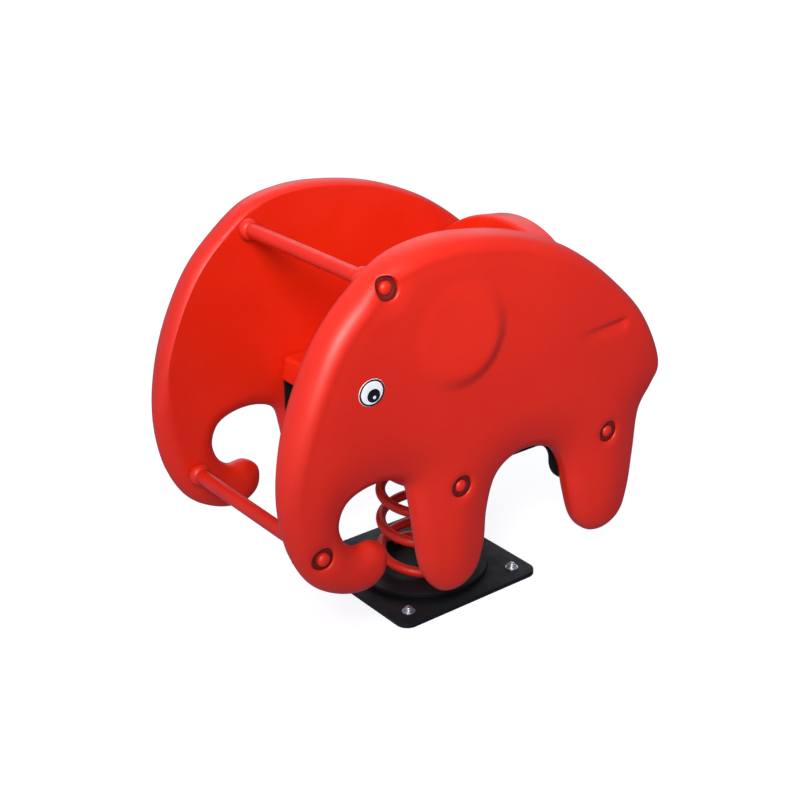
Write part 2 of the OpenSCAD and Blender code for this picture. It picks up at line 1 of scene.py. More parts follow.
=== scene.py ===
"""Looks of the elephant spring rider: moulded pieces, coil spring, fasteners, finishes, light and camera."""
import math

import bmesh
import bpy
import numpy as np
from mathutils import Matrix, Vector
from mathutils.geometry import delaunay_2d_cdt


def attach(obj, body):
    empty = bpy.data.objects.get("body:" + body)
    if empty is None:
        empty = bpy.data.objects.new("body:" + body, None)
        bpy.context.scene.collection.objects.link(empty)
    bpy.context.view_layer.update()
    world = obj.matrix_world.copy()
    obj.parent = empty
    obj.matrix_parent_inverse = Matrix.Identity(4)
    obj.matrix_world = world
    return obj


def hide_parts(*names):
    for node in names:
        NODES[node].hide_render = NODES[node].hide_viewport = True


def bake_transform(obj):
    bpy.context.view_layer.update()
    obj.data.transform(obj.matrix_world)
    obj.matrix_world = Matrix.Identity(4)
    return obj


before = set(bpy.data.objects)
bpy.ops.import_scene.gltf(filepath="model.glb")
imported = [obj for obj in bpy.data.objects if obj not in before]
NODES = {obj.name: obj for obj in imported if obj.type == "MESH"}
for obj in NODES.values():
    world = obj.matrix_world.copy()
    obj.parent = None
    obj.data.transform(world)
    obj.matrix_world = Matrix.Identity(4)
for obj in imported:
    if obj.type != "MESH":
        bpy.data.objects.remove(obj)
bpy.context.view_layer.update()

MM = 0.001

# Sizes shared with the CAD source: lengths in millimetres, the coil's angles in degrees
PANEL_LEN = 892
PANEL_H = 704
PANEL_T = 68
PANEL_GAP = 370
PANEL_Z = 84.584
RIM_DEPTH = 0.62 * PANEL_T
RIM_INSET = 0.5 * PANEL_T
POCKET_DEPTH = 22
EAR_R = 103
EAR_RISE = 5
EAR_SLOPE = math.tan(math.radians(4.5))
EAR_LOW_WAY = (-0.66, -0.75)
EYE_T = 3
SEAT_W = 366
SEAT_TOP_Z = 456.2
SEAT_T = 46
SEAT_FRONT_X = 192.34
BACK_X = -182.95
BACK_T = 57
BACK_LEAN = math.radians(5)
BACK_SIDE_H = 173
BACK_MID_H = 247
BAR_R = 14
COLLAR_L = 20
WIRE_R = 10
COIL_R = 78
COIL_LOW_Z = 30.3
COIL_RISE = 66 * 3.6
COIL_CLOSED = 200
COIL_ACTIVE = 360 * 3.6
COIL_END = 265
ANCHOR_PITCH = 266
WASHER_TOP_Z = 12.5
PANEL_WASHER_R = 15
PANEL_WASHER_TOP = 233.5

# Places on a side, as shares of its length and height, and its outline in the same shares
HANDLE = (0.288, 0.917)
FOOT = (0.445, 0.262)
FRONT_LEG = (0.108, 0.329)
REAR_LEG = (-0.306, 0.329)
EYE = (0.335, 0.675)
EAR = (0.118, 0.754)
OUTLINE = [
    (-0.158, 0.907), (-0.046, 0.962), (0.067, 0.992), (0.168, 1.000), (0.266, 0.977), (0.347, 0.909),
    (0.413, 0.826), (0.464, 0.717), (0.500, 0.598), (0.520, 0.478), (0.519, 0.370), (0.497, 0.262),
    (0.453, 0.174), (0.387, 0.121), (0.325, 0.109), (0.283, 0.142), (0.277, 0.202), (0.308, 0.237),
    (0.350, 0.239), (0.379, 0.271), (0.390, 0.324), (0.372, 0.374), (0.325, 0.396), (0.270, 0.393),
    (0.227, 0.365), (0.211, 0.300), (0.198, 0.193), (0.181, 0.090), (0.141, 0.016), (0.090, 0.001),
    (0.043, 0.037), (0.020, 0.115), (0.013, 0.214), (-0.009, 0.300), (-0.058, 0.338), (-0.121, 0.339),
    (-0.177, 0.307), (-0.211, 0.239), (-0.229, 0.147), (-0.253, 0.056), (-0.293, 0.006), (-0.342, 0.000),
    (-0.387, 0.036), (-0.409, 0.115), (-0.420, 0.229), (-0.430, 0.342), (-0.462, 0.406), (-0.483, 0.463),
    (-0.462, 0.545), (-0.406, 0.658), (-0.331, 0.754), (-0.249, 0.838)]

# Each side's name, its way along Y, and the axis that points out of it
SIDES = (("left", 1, "+Y"), ("right", -1, "-Y"))


def place(share):
    """A share of the side's length and height as X and Z in millimetres."""
    return np.array([share[0] * PANEL_LEN, PANEL_Z + share[1] * PANEL_H])


# Curves and filled regions in a plane

def closed_curve(points, steps):
    """A smooth closed curve through points."""
    p = np.array(points, float)
    a, b, c, d = np.roll(p, 1, 0), p, np.roll(p, -1, 0), np.roll(p, -2, 0)
    rows = []
    for k in range(steps):
        t = k / steps
        rows.append(0.5 * (2 * b + (c - a) * t + (2 * a - 5 * b + 4 * c - d) * t ** 2
                           + (3 * b - a - 3 * c + d) * t ** 3))
    return np.stack(rows, 1).reshape(-1, 2)


def corner_arc(before, corner, after, r, steps):
    """Points of the arc that rounds a corner off towards its two neighbours."""
    u, v = before - corner, after - corner
    u, v = u / np.linalg.norm(u), v / np.linalg.norm(v)
    half = math.acos(np.clip(u @ v, -1, 1)) / 2
    reach = r / math.tan(half)
    centre = corner + (u + v) / np.linalg.norm(u + v) * r / math.sin(half)
    start, end = corner + u * reach - centre, corner + v * reach - centre
    turn = math.atan2(start[0] * end[1] - start[1] * end[0], start @ end)
    angles = turn * np.arange(steps + 1) / steps
    return centre + np.outer(np.cos(angles), start) + np.outer(np.sin(angles), (-start[1], start[0]))


def rounded_polygon(corners, radii, steps):
    """A polygon with each corner rounded by its own radius, or left as it is for a radius of 0."""
    p = np.array(corners, float)
    rows = []
    for i, r in enumerate(radii):
        rows.append(corner_arc(p[i - 1], p[i], p[(i + 1) % len(p)], r, steps) if r else p[i:i + 1])
    return np.vstack(rows)


def evened(curve, step):
    """The same closed curve with points about a step apart."""
    loop = np.vstack([curve, curve[:1]])
    along = np.concatenate([[0], np.cumsum(np.linalg.norm(np.diff(loop, axis=0), axis=1))])
    at = np.linspace(0, along[-1], max(8, round(along[-1] / step)), endpoint=False)
    return np.stack([np.interp(at, along, loop[:, k]) for k in (0, 1)], 1)


def inset(curve, depth):
    """A clockwise curve moved inwards along its normals."""
    way = np.roll(curve, -1, 0) - np.roll(curve, 1, 0)
    way /= np.linalg.norm(way, axis=1)[:, None]
    return curve + depth * np.stack([way[:, 1], -way[:, 0]], 1)


def edge_distance(points, curve):
    """How far each point is from a closed curve."""
    a, b = curve, np.roll(curve, -1, 0)
    ab = b - a
    long2 = (ab ** 2).sum(1)
    out = np.empty(len(points))
    for k in range(0, len(points), 2000):
        p = points[k:k + 2000, None]
        t = np.clip(((p - a) * ab).sum(2) / long2, 0, 1)[..., None]
        out[k:k + 2000] = np.sqrt((((a + t * ab) - p) ** 2).sum(2)).min(1)
    return out


def inside(points, curve):
    """Which points lie inside a closed curve."""
    x, y = points[:, :1], points[:, 1:]
    (x1, y1), (x2, y2) = curve.T, np.roll(curve, -1, 0).T
    rise = np.where(y2 == y1, 1e-12, y2 - y1)
    hit = ((y1 > y) != (y2 > y)) & (x < (x2 - x1) * (y - y1) / rise + x1)
    return hit.sum(1) % 2 == 1


def hex_grid(curve, step):
    """Evenly staggered points over a curve's box."""
    low, high = curve.min(0), curve.max(0)
    rows = np.arange(low[1], high[1], step * 0.866)
    return np.array([(x, y) for k, y in enumerate(rows)
                     for x in np.arange(low[0] + (k % 2) * step / 2, high[0], step)])


def rings(centre, radii, count):
    """Points on rings about a centre, each ring turned half a step from the last."""
    out = []
    for k, r in enumerate(radii):
        a = (np.arange(count) + 0.5 * (k % 2)) * 2 * math.pi / count
        out.append(np.stack([centre[0] + r * np.cos(a), centre[1] + r * np.sin(a)], 1))
    return np.vstack(out)


def spaced(curve, grid_step, loop_depths, details):
    """Points to mesh a region with: loops along the edge, a grid inside, and rings where details are."""
    loops = []
    for depth in loop_depths:
        loop = inset(curve, depth)
        loops.append(loop[np.abs(edge_distance(loop, curve) - depth) < 0.02 * depth + 0.01])
    grid = hex_grid(curve, grid_step)
    grid = grid[inside(grid, curve)]
    grid = grid[edge_distance(grid, curve) > loop_depths[-1] + 0.5 * grid_step]
    free = np.vstack(loops + [grid])
    extra = []
    for centre, radii, count in details:
        far = np.linalg.norm(free - centre, axis=1)
        free = free[(far > radii[-1] + 1.5) | (far < radii[0] - 1.5)]
        ring = rings(centre, radii, count)
        ring = ring[inside(ring, curve)]
        extra.append(ring[edge_distance(ring, curve) > 1.2])
    return np.vstack([free] + extra)


def filled(curve, points):
    """Triangles that fill a closed curve through points inside it: points, triangles, the edge's order."""
    coords = [Vector(p) for p in np.vstack([curve, points])]
    n = len(curve)
    sides = [(i, (i + 1) % n) for i in range(n)]
    verts, _, faces, origin, _, _ = delaunay_2d_cdt(coords, sides, [], 1, 1e-6)
    where = {old: new for new, olds in enumerate(origin) for old in olds}
    return np.array([tuple(v) for v in verts]), np.array(faces), [where[i] for i in range(n)]


def blurred(field, width):
    """A grid of values blurred along both of its axes, with a width in grid steps."""
    reach = math.ceil(3 * width)
    kernel = np.exp(-0.5 * (np.arange(-reach, reach + 1) / width) ** 2)
    kernel /= kernel.sum()
    for axis in (0, 1):
        field = np.apply_along_axis(np.convolve, axis, field, kernel, mode="same")
    return field


def on_grid(field, low, step, points):
    """A grid's values at points between its own."""
    at = (points - low) / step
    cell = np.clip(np.floor(at).astype(int), 0, np.array(field.shape) - 2)
    (i, j), (u, v) = cell.T, (at - cell).T
    return ((1 - u) * (1 - v) * field[i, j] + u * (1 - v) * field[i + 1, j]
            + (1 - u) * v * field[i, j + 1] + u * v * field[i + 1, j + 1])


def soft_max(a, b, k):
    """The larger of two values, rounded off where they come within k of each other."""
    t = np.clip(0.5 + 0.5 * (a - b) / k, 0, 1)
    return b * (1 - t) + a * t + k * t * (1 - t)


def smooth_step(x, start, end):
    """0 up to a start, 1 from an end, and an even curve between them."""
    t = np.clip((x - start) / (end - start), 0, 1)
    return t * t * (3 - 2 * t)


def rounding(d, width):
    """A quarter round from 0 at the edge to 1 at a width inside it."""
    return np.sqrt(np.maximum(0, 1 - (1 - np.clip(d / width, 0, 1)) ** 2))


# Meshes

def as_object(name, verts, faces, material, slot):
    """A closed, smoothly shaded mesh from points in millimetres."""
    mesh = bpy.data.meshes.new(name)
    mesh.from_pydata([tuple(v) for v in np.asarray(verts) * MM], [], [tuple(map(int, f)) for f in faces])
    bm = bmesh.new()
    bm.from_mesh(mesh)
    bmesh.ops.remove_doubles(bm, verts=bm.verts, dist=1e-7)
    bmesh.ops.recalc_face_normals(bm, faces=bm.faces)
    bm.to_mesh(mesh)
    bm.free()
    return shown(name, mesh, material)


def shown(name, mesh, material):
    """An object for a finished mesh, smoothly shaded, with its material."""
    mesh.polygons.foreach_set("use_smooth", [True] * len(mesh.polygons))
    mesh.materials.clear()
    mesh.materials.append(material)
    obj = bpy.data.objects.new(name, mesh)
    bpy.context.scene.collection.objects.link(obj)
    return obj


def weigh_normals(mesh):
    """Shading normals weighted by face area, so that flats stay flat beside rounded edges."""
    total = np.zeros((len(mesh.vertices), 3))
    for p in mesh.polygons:
        total[list(p.vertices)] += np.array(p.normal) * p.area
    total /= np.maximum(np.linalg.norm(total, axis=1), 1e-12)[:, None]
    mesh.normals_split_custom_set_from_vertices([tuple(v) for v in total])


def slab(curve, points, front, back):
    """A closed skin over a filled region: points (u, v, height) and faces. Front and back give heights."""
    flat, tris, edge = filled(curve, points)
    depth = edge_distance(flat, curve)
    depth[edge] = 0
    top = front(flat, depth)
    low = back(flat, depth)
    n = len(flat)
    verts = np.vstack([np.column_stack([flat, top]), np.column_stack([flat, low])])
    faces = [tuple(t) for t in tris] + [tuple(n + t[::-1]) for t in tris]
    for a, b in zip(edge, edge[1:] + edge[:1]):
        faces.append((a, b, n + b, n + a))
    return verts, faces


def set_at(verts, at, axis):
    """Points turned from Z to an axis and moved to a place."""
    verts = np.array(verts)
    if axis == "+Y":
        verts = verts[:, [0, 2, 1]] * [1, 1, -1]
    elif axis == "-Y":
        verts = verts[:, [0, 2, 1]] * [1, -1, 1]
    return verts + np.array(at)


def lathe(profile, sides, at=(0, 0, 0), axis="Z"):
    """A closed solid turned from (radius, height) points, from its bottom middle to its top middle."""
    verts, faces = [], []
    for r, h in profile:
        count = 1 if r == 0 else sides
        for k in range(count):
            a = 2 * math.pi * k / sides
            verts.append((r * math.cos(a), r * math.sin(a), h))
    start = 0
    for (r0, _), (r1, _) in zip(profile, profile[1:]):
        n0, n1 = (1 if r == 0 else sides for r in (r0, r1))
        for k in range(sides):
            a, b = start + k % n0, start + (k + 1) % n0
            c, d = start + n0 + (k + 1) % n1, start + n0 + k % n1
            faces.append(tuple(dict.fromkeys((a, b, c, d))))
        start += n0
    return set_at(verts, at, axis), faces


def turned_ring(profile, sides, at, axis):
    """A ring turned from a closed profile."""
    verts, faces = [], []
    m = len(profile) - 1
    for k in range(sides):
        a = 2 * math.pi * k / sides
        verts += [(r * math.cos(a), r * math.sin(a), h) for r, h in profile[:-1]]
        n = (k + 1) % sides
        for j in range(m):
            i = (j + 1) % m
            faces.append((k * m + j, n * m + j, n * m + i, k * m + i))
    return set_at(verts, at, axis), faces


def arc(centre, r, start, end, steps):
    """Points (radius, height) on an arc, with angles in degrees."""
    return [(centre[0] + r * math.cos(math.radians(start + (end - start) * k / steps)),
             centre[1] + r * math.sin(math.radians(start + (end - start) * k / steps)))
            for k in range(steps + 1)]


def joined(parts):
    """Several point and face lists as one."""
    verts, faces = [], []
    for v, f in parts:
        base = sum(len(x) for x in verts)
        verts.append(np.asarray(v))
        faces += [tuple(i + base for i in face) for face in f]
    return np.vstack(verts), faces


# Materials

GRAIN_DEPTH = 0.0004


def principled(name, color, roughness, metallic=0.0, specular=0.5):
    """A plain material and its shader node."""
    material = bpy.data.materials.new(name)
    material.use_nodes = True
    shader = material.node_tree.nodes["Principled BSDF"]
    shader.inputs["Base Color"].default_value = (*color, 1)
    shader.inputs["Roughness"].default_value = roughness
    shader.inputs["Metallic"].default_value = metallic
    shader.inputs["Specular IOR Level"].default_value = specular
    return material, shader


def noise_on(material, scale, detail=4.0):
    """A noise over the object's own coordinates."""
    tree = material.node_tree
    coords = tree.nodes.get("Texture Coordinate") or tree.nodes.new("ShaderNodeTexCoord")
    noise = tree.nodes.new("ShaderNodeTexNoise")
    noise.inputs["Scale"].default_value = scale
    noise.inputs["Detail"].default_value = detail
    tree.links.new(coords.outputs["Object"], noise.inputs["Vector"])
    return noise


def spread(material, noise, low, high):
    """A noise's middle range spread between two values."""
    span = material.node_tree.nodes.new("ShaderNodeMapRange")
    span.inputs["From Min"].default_value = 0.3
    span.inputs["From Max"].default_value = 0.7
    span.inputs["To Min"].default_value = low
    span.inputs["To Max"].default_value = high
    material.node_tree.links.new(noise.outputs["Fac"], span.inputs["Value"])
    return span.outputs["Result"]


def vary_color(material, shader, noise, low, high):
    """The base colour moves between two colours with a noise."""
    ramp = material.node_tree.nodes.new("ShaderNodeValToRGB")
    ramp.color_ramp.elements[0].position = 0.35
    ramp.color_ramp.elements[1].position = 0.65
    ramp.color_ramp.elements[0].color = (*low, 1)
    ramp.color_ramp.elements[1].color = (*high, 1)
    material.node_tree.links.new(noise.outputs["Fac"], ramp.inputs["Fac"])
    material.node_tree.links.new(ramp.outputs["Color"], shader.inputs["Base Color"])


def grain(material, shader, noise, strength, distance):
    """A fine relief from a noise."""
    bump = material.node_tree.nodes.new("ShaderNodeBump")
    bump.inputs["Strength"].default_value = strength
    bump.inputs["Distance"].default_value = distance
    material.node_tree.links.new(noise.outputs["Fac"], bump.inputs["Height"])
    material.node_tree.links.new(bump.outputs["Normal"], shader.inputs["Normal"])


def finish_of(name, low, high, rough, patch, fine, bump, **more):
    """A finish with patchy colour, patchy gloss and a fine grain."""
    material, shader = principled(name, low, rough[0], **more)
    vary_color(material, shader, noise_on(material, patch), low, high)
    gloss = spread(material, noise_on(material, patch * 3), *rough)
    material.node_tree.links.new(gloss, shader.inputs["Roughness"])
    grain(material, shader, noise_on(material, fine, 2.0), bump, GRAIN_DEPTH)
    return material


RED = finish_of("red_plastic", (0.66, 0.0135, 0.0008), (0.71, 0.0165, 0.0012), rough=(0.38, 0.48),
                patch=5, fine=700, bump=0.05, specular=0.45)
# Painted shade: a dark red that stands in for the shadow deep in the bolt pockets, used for the cap rings and
# washer covers
SHADE_RED = finish_of("painted_shade_red", (0.11, 0.008, 0.007), (0.14, 0.010, 0.009), rough=(0.45, 0.6),
                     patch=20, fine=700, bump=0.05, specular=0.2)
RED_STEEL = finish_of("red_steel", (0.60, 0.0130, 0.0025), (0.67, 0.0160, 0.0035), rough=(0.34, 0.46),
                      patch=14, fine=900, bump=0.10, specular=0.35)
BLACK = finish_of("black_steel", (0.004, 0.0045, 0.0050), (0.007, 0.0075, 0.0085), rough=(0.46, 0.62),
                  patch=12, fine=520, bump=0.22, specular=0.2)
ZINC = finish_of("zinc_steel", (0.56, 0.57, 0.59), (0.68, 0.69, 0.71), rough=(0.24, 0.40), patch=40,
                 fine=600, bump=0.06, metallic=1.0)
WHITE = finish_of("white_plastic", (0.84, 0.84, 0.82), (0.90, 0.90, 0.88), rough=(0.28, 0.38), patch=30,
                  fine=800, bump=0.03)
JET = finish_of("black_plastic", (0.004, 0.004, 0.005), (0.007, 0.007, 0.008), rough=(0.30, 0.42),
                patch=30, fine=800, bump=0.03, specular=0.3)


# Sides

# DOMED_BELOW, BLUR_INSET, TRUNK_SOFT and LIP_INSET are where a change starts and ends; a lip has a radius
# and a depth; TAIL_DEPTH is the fold's depth at its start and end
DOME_DEPTH = 24
DOME_INSET = 112
DOME_TIGHTER = 6
DOMED_BELOW = (330, 560)
BLUR_GRID = 4
BLUR_WIDTH = 14
BLUR_INSET = (24, 50)
INNER_EDGE = 8.7
INNER_DEPTH = 17
INNER_LINE = 0.5
TRUNK_CURL = (0.33, 0.25)
TRUNK_EDGE = 40
TRUNK_DEPTH = 24
TRUNK_SOFT = (150, 290)
EAR_EDGE = 32
EAR_LEAST = 0.3
EAR_SOFT = 6
EAR_RINGS = [EAR_R + k for k in range(-30, 9, 3)]
EAR_SPOKES = 132
TAIL_START = np.array([-186, 536])
TAIL_END = np.array([-306, 541])
TAIL_DEPTH = (2.5, 7)
TAIL_ABOVE = 6
TAIL_BELOW = 17
POCKET_R = 20.5
POCKET_RINGS = [POCKET_R + k for k in (-16, -10, -6, -3, -1.6, -1, -0.4, 0.2, 0.8, 1.4, 2.2, 3.5, 5.5, 8, 11,
                                       14.5, 18, 22, 26, 30)]
POCKET_SPOKES = 56
LEG_LIP = (34, 4)
POCKETS = [(place(HANDLE), (50, 4.5)), (place(FOOT), (40, 4.5)), (place(FRONT_LEG), LEG_LIP),
           (place(REAR_LEG), LEG_LIP)]
LIP_INSET = (3, 26)
SIDE_STEP = 5
SIDE_GRID = 7
TAIL_GRID = 4


def ear_rise(p):
    """How far the ear stands out of the face: most at its lower back edge, with a soft step all round."""
    away = p - place(EAR)
    r = np.linalg.norm(away, axis=1)
    tilt = EAR_RISE + EAR_SLOPE * (away @ np.array(EAR_LOW_WAY))
    return soft_max(tilt, EAR_LEAST, EAR_SOFT) * (1 - smooth_step(r, EAR_R - EAR_EDGE, EAR_R + 4))


def pocket_depth(p, d, centre, lip):
    """Depth of a bolt pocket below the face: a lip that ends short of the rim, a steep wall, a flat floor."""
    r = np.linalg.norm(p - centre, axis=1)
    lip_r, lip_depth = lip
    out = np.clip((r - POCKET_R - 1) / (lip_r - POCKET_R - 1), 0, 1)
    flare = lip_depth * (1 - 0.5 * out - 0.5 * rounding(out, 1)) * smooth_step(d, *LIP_INSET)
    return flare + (POCKET_DEPTH - lip_depth) * (1 - smooth_step(r, POCKET_R - 1, POCKET_R + 1.4))


def tail_fold(p):
    """Depth of the short fold that marks the tail: steep above, shallow below, deepest at its back end."""
    way = TAIL_END - TAIL_START
    long = np.linalg.norm(way)
    way = way / long
    along = (p - TAIL_START) @ way
    above = (p - TAIL_START) @ np.array([way[1], -way[0]])
    across = np.exp(-(above / np.where(above > 0, TAIL_ABOVE, TAIL_BELOW)) ** 2)
    ends = smooth_step(along, -20, 45) * (1 - smooth_step(along, long - 14, long + 8))
    return np.interp(along, (0, long), TAIL_DEPTH) * across * ends


def face_height(p, d):
    """Height of the outer face: a round edge, tighter on the legs and trunk, which are domed right across."""
    domed = 1 - smooth_step(p[:, 1], *DOMED_BELOW)
    rim = (RIM_DEPTH - DOME_DEPTH * domed) * (1 - rounding(d, RIM_INSET - DOME_TIGHTER * domed))
    return PANEL_T - rim - DOME_DEPTH * domed * np.maximum(0, 1 - d / DOME_INSET) ** 2


def blurred_face(curve):
    """The outer face's height on a grid, blurred so that no ridge is left along the legs and trunk."""
    margin = 15 * BLUR_GRID
    low, high = curve.min(0) - margin, curve.max(0) + margin
    axes = [np.arange(low[k], high[k], BLUR_GRID) for k in (0, 1)]
    grid = np.stack(np.meshgrid(*axes, indexing="ij"), -1).reshape(-1, 2)
    depth = np.where(inside(grid, curve), edge_distance(grid, curve), 0)
    field = face_height(grid, depth).reshape(len(axes[0]), len(axes[1]))
    return blurred(field, BLUR_WIDTH / BLUR_GRID), low, BLUR_GRID


SIDE_CURVE = evened(closed_curve([place(s) for s in OUTLINE], 16), SIDE_STEP)
SIDE_BLUR = blurred_face(SIDE_CURVE[::2])


def soft_face(p, d):
    """Height of the outer face: exact along the edge, blurred further in."""
    share = smooth_step(d, *BLUR_INSET)
    return (1 - share) * face_height(p, d) + share * on_grid(*SIDE_BLUR, p)


def outer_face(p, d):
    """Height of the outer face with its ear, tail and bolt pockets."""
    h = soft_face(p, d) + ear_rise(p) - tail_fold(p)
    for centre, lip in POCKETS:
        h = h - pocket_depth(p, d, centre, lip)
    return h


def inner_face(p, d):
    """Height of the inner face: a narrow edge that keeps a line, but a broad one about the trunk's curl."""
    soft = 1 - smooth_step(np.linalg.norm(p - place(TRUNK_CURL), axis=1), *TRUNK_SOFT)
    width = INNER_EDGE + (TRUNK_EDGE - INNER_EDGE) * soft
    depth = INNER_DEPTH + (TRUNK_DEPTH - INNER_DEPTH) * soft
    line = INNER_LINE * (1 - soft)
    return depth * (line * (1 - np.clip(d / width, 0, 1)) + (1 - line) * (1 - rounding(d, width)))


def side_shape():
    """A side's skin, as points (X, Z, height over the inner face) and faces."""
    loops = [RIM_INSET * (1 - math.cos(math.radians(a))) for a in range(6, 91, 6)]
    loops += [RIM_INSET + k for k in (4, 9, 15, 21)]
    loops = sorted(loops + [INNER_EDGE - 0.8, INNER_EDGE + 0.8])
    details = [(c, POCKET_RINGS, POCKET_SPOKES) for c, _ in POCKETS]
    details.append((place(EAR), EAR_RINGS, EAR_SPOKES))
    points = spaced(SIDE_CURVE, SIDE_GRID, loops, details)
    tail = np.array([TAIL_START, TAIL_END])
    low, high = tail.min(0) - 30, tail.max(0) + 30
    box = np.array([low, (low[0], high[1]), high, (high[0], low[1])])
    points = np.vstack([points[~inside(points, box)], hex_grid(box, TAIL_GRID)])
    return slab(SIDE_CURVE, points, outer_face, inner_face)


def make_sides():
    """The two moulded sides, which mirror each other."""
    verts, faces = side_shape()
    for name, way, _ in SIDES:
        xyz = np.column_stack([verts[:, 0], way * (PANEL_GAP / 2 + verts[:, 2]), verts[:, 1]])
        side = as_object(name + "_side", xyz, faces, RED, "red_plastic")
        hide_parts(name + "_panel")
        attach(side, "rider")


# Eyes

EYE_R = 27.1
EYE_LOW = 0.91
EYE_SINK = 2.3
EYE_LINE = (22.7, 26.3)
PUPIL_R = 13.1
PUPIL_T = 1.0
PUPIL_SHIFT = (-3.2, -6.6)
GLINT_R = 3.3
GLINT_SHIFT = (-1.1, -3.5)
THIN = 0.5


def disc_profile(r, t, edge):
    """A disc with a slightly domed face and a rounded rim."""
    dome = 0.06 * t
    rim = arc((r - edge, t - edge), edge, 0, 80, 4)
    return [(0, 0), (r, 0)] + rim + [(0.5 * r, t + dome * 0.7), (0, t + dome)]


def ring_profile(r0, r1, t):
    """A flat ring with a low ridge along its middle."""
    mid = (r0 + r1) / 2
    return [(r0, 0), (r1, 0), (r1, 0.6 * t), (mid, t), (r0, 0.6 * t), (r0, 0)]


def make_eyes():
    """Discs let into the outer faces, each with a black line near its edge, a pupil and a glint."""
    x, z = place(EYE)
    pupil = (x + PUPIL_SHIFT[0], z + PUPIL_SHIFT[1])
    glint = (pupil[0] + GLINT_SHIFT[0], pupil[1] + GLINT_SHIFT[1])
    face = PANEL_GAP / 2 + PANEL_T - EYE_SINK
    front = face + EYE_T - 0.1
    top = front + PUPIL_T - 0.05
    for name, way, axis in SIDES:
        at = (x, way * face, z)
        line_at = (x, way * front, z)
        pupil_at = (pupil[0], way * front, pupil[1])
        glint_at = (glint[0], way * top, glint[1])
        shapes = {
            "white": (lathe(disc_profile(EYE_R, EYE_T, 0.8), 64, at, axis), WHITE),
            "ring": (turned_ring(ring_profile(*EYE_LINE, THIN), 72, line_at, axis), JET),
            "pupil": (lathe(disc_profile(PUPIL_R, PUPIL_T, 0.4), 48, pupil_at, axis), JET),
            "glint": (lathe(disc_profile(GLINT_R, THIN, 0.2), 32, glint_at, axis), WHITE)}
        for part, ((verts, faces), material) in shapes.items():
            verts[:, 2] = z + EYE_LOW * (verts[:, 2] - z)
            slot = "white_plastic" if material == WHITE else "black_plastic"
            piece = as_object(name + "_eye_" + part, verts, faces, material, slot)
            if part == "white":
                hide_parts("eye_discs")
            if part == "pupil":
                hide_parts("eye_pupils")
            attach(piece, "rider")


# Seat

SEAT_EDGE = 8
SEAT_RAISE = 3
SEAT_FRONT_TOP_X = SEAT_FRONT_X - 1
SEAT_FRONT_LOW_X = SEAT_FRONT_X + 9
SEAT_INNER_R = 34
SEAT_OUTER_R = 24
SEAT_CORNER_R = 10
BACK_CORNER_R = 24
ARCH_STEPS = 40
SEAT_STEP = 4
SEAT_GRID = 9


def bent_path(start, corner, end, r, steps=10):
    """Points of a path with one rounded corner, and their shares: pan 0 to 1, bend 1 to 2, back 2 to 3."""
    start, corner, end = (np.array(q, float) for q in (start, corner, end))
    points = np.vstack([start, corner_arc(start, corner, end, r, steps), end])
    shares = np.array([0] + [1 + k / steps for k in range(steps + 1)] + [3])
    return points, shares


def seat_paths():
    """The path of the sitting face and of the under face, in X and Z, from the front edge to the top."""
    up = np.array([-math.sin(BACK_LEAN), math.cos(BACK_LEAN)])
    rear = np.array([-math.cos(BACK_LEAN), -math.sin(BACK_LEAN)]) * BACK_T
    knee = np.array([BACK_X, SEAT_TOP_Z + SEAT_RAISE])
    top = knee + up * (BACK_MID_H - SEAT_RAISE)
    heel_z = SEAT_TOP_Z - SEAT_T
    drop = (knee[1] + rear[1] - heel_z) / up[1]
    heel = knee + rear - up * drop
    inner = bent_path((SEAT_FRONT_TOP_X, knee[1]), knee, top, SEAT_INNER_R)
    outer = bent_path((SEAT_FRONT_LOW_X, heel_z), heel, top + rear, SEAT_OUTER_R)
    return inner, outer


def on_path(path, share):
    """The points of a path at shares of its way."""
    points, shares = path
    return np.stack([np.interp(share, shares, points[:, k]) for k in (0, 1)], 1)


def make_seat():
    """The saddle: a flat outline with an arched end, bent up into the backrest."""
    inner, outer = seat_paths()
    points, shares = inner
    along = np.concatenate([[0], np.cumsum(np.linalg.norm(np.diff(points, axis=0), axis=1))])
    total = along[-1]
    half = SEAT_W / 2
    rise = BACK_MID_H - BACK_SIDE_H
    arch_r = (half ** 2 + rise ** 2) / (2 * rise)
    reach = math.asin(half / arch_r)
    arch = [(arch_r * math.sin(a), total - arch_r + arch_r * math.cos(a))
            for a in np.linspace(-reach, reach, ARCH_STEPS + 1)]
    corners = [(half, 0), (-half, 0)] + arch
    radii = [SEAT_CORNER_R] * 2 + [BACK_CORNER_R] + [0] * (ARCH_STEPS - 1) + [BACK_CORNER_R]
    curve = evened(rounded_polygon(corners, radii, 8), SEAT_STEP)
    loops = [SEAT_EDGE * (1 - math.cos(math.radians(a))) for a in range(9, 91, 9)]
    edge = SEAT_EDGE / SEAT_T

    def front(p, d):
        return 1 - edge * (1 - rounding(d, SEAT_EDGE))

    def back(p, d):
        return edge * (1 - rounding(d, SEAT_EDGE))

    verts, faces = slab(curve, spaced(curve, SEAT_GRID, loops, []), front, back)
    share = np.interp(verts[:, 1], along, shares)
    sit, under = on_path(inner, share), on_path(outer, share)
    xz = under + verts[:, 2:] * (sit - under)
    xyz = np.column_stack([xz[:, 0], verts[:, 0], xz[:, 1]])
    seat = as_object("saddle_seat", xyz, faces, RED, "red_plastic")
    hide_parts("seat")
    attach(seat, "rider")


# Spring

WIRE_NIP = 1.5
WIRE_SIDES = 24
WIRE_STEP = 5


def coil_at(a):
    """A point of the coil's middle line, at an angle in degrees from its lower end."""
    phi = math.radians(COIL_END - a)
    z = COIL_LOW_Z + COIL_RISE * min(1, max(0, (a - COIL_CLOSED) / COIL_ACTIVE))
    return np.array([COIL_R * math.cos(phi), COIL_R * math.sin(phi), z])


